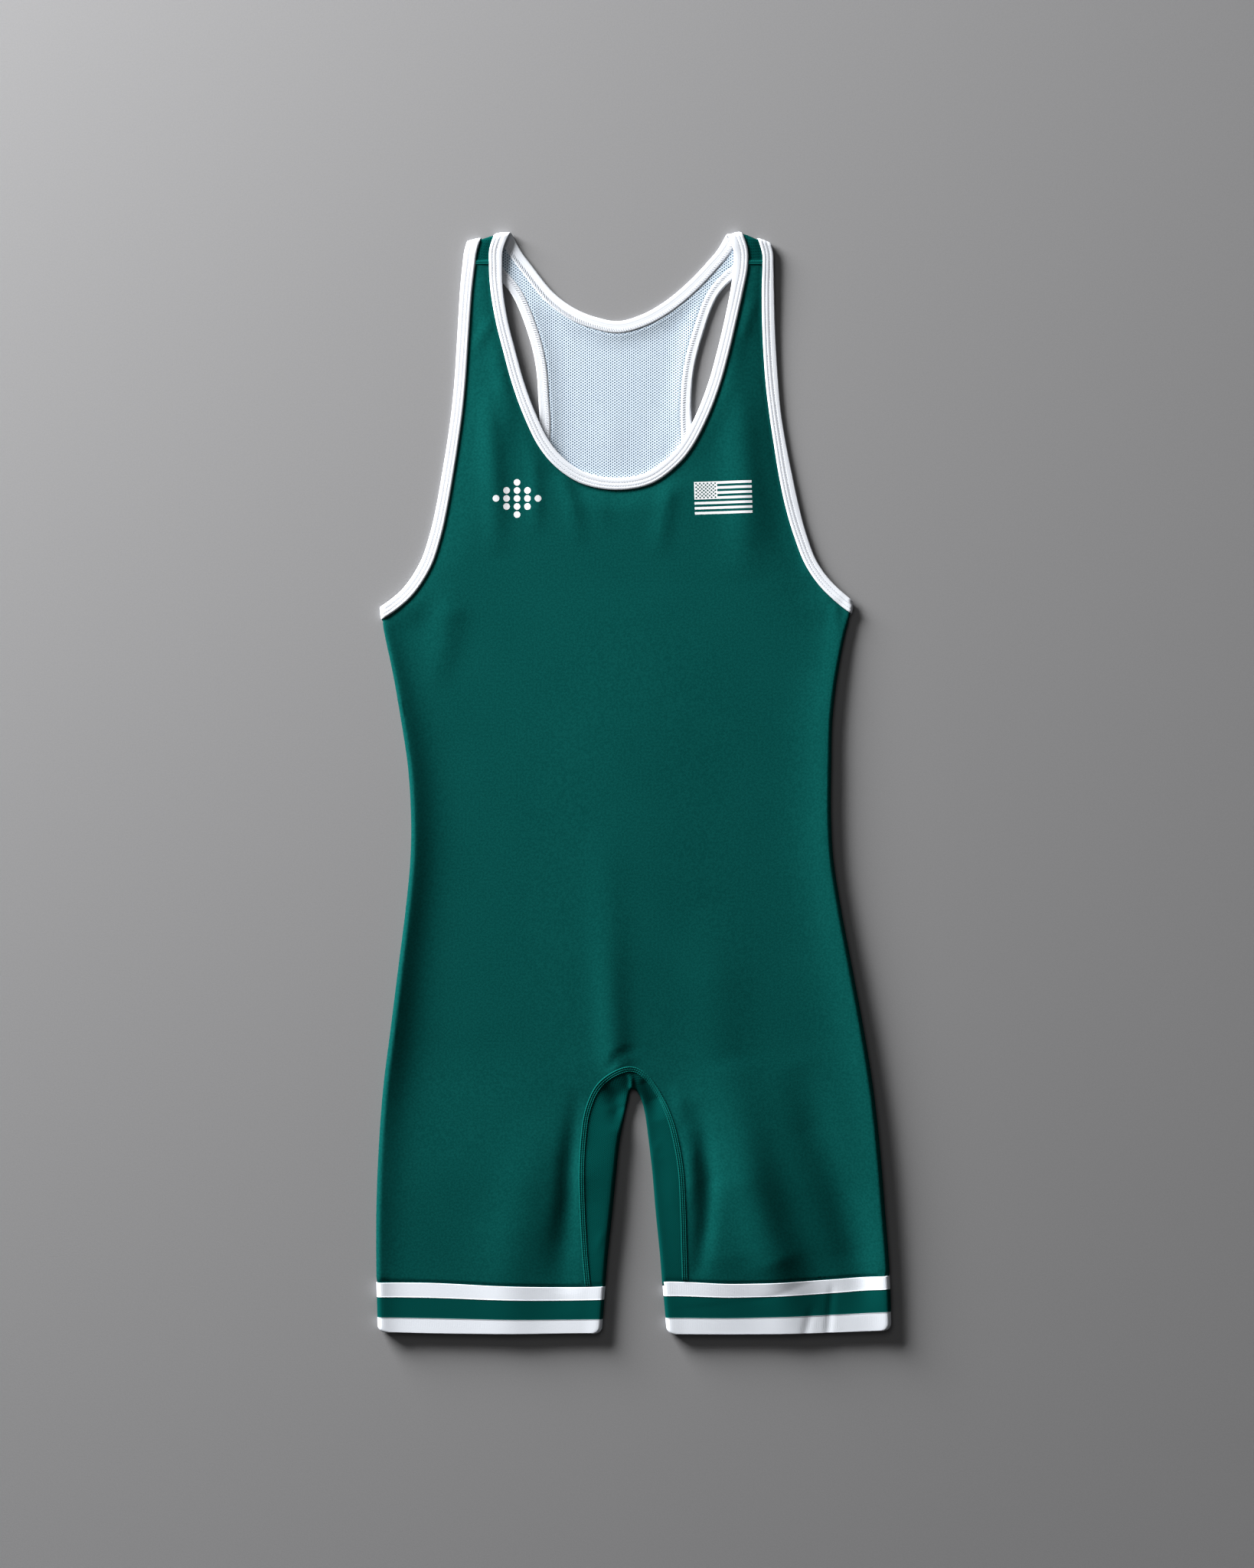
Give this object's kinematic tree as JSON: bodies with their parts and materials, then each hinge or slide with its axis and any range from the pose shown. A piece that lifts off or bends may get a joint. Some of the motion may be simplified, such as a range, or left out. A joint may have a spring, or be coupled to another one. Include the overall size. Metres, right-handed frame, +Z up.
{
  "type": "wrestling singlet",
  "caption": "Sleeveless wrestling suit laid flat front up, with a racer back, bound neck and armholes, a crotch gusset and striped leg bands.",
  "frame": {"origin": "middle of the laid garment's outline, on the surface that it rests on", "axes": "+Y from the leg bands to the shoulders, +Z up out of the garment's front, +X to the right as seen from above"},
  "size_m": [0.4029, 0.8631, 0.0066],
  "materials": {
    "front_knit": "satin",
    "mesh_knit": "matte",
    "tape": "matte",
    "leg_band": "matte"
  },
  "bodies": {
    "root": {"front_panel": "front_knit", "back_panel": "mesh_knit", "crotch_gusset": "mesh_knit", "neck_binding": "tape", "left_armhole_binding": "tape", "right_armhole_binding": "tape", "left_leg_band": "leg_band", "right_leg_band": "leg_band"}
  },
  "joints": []
}
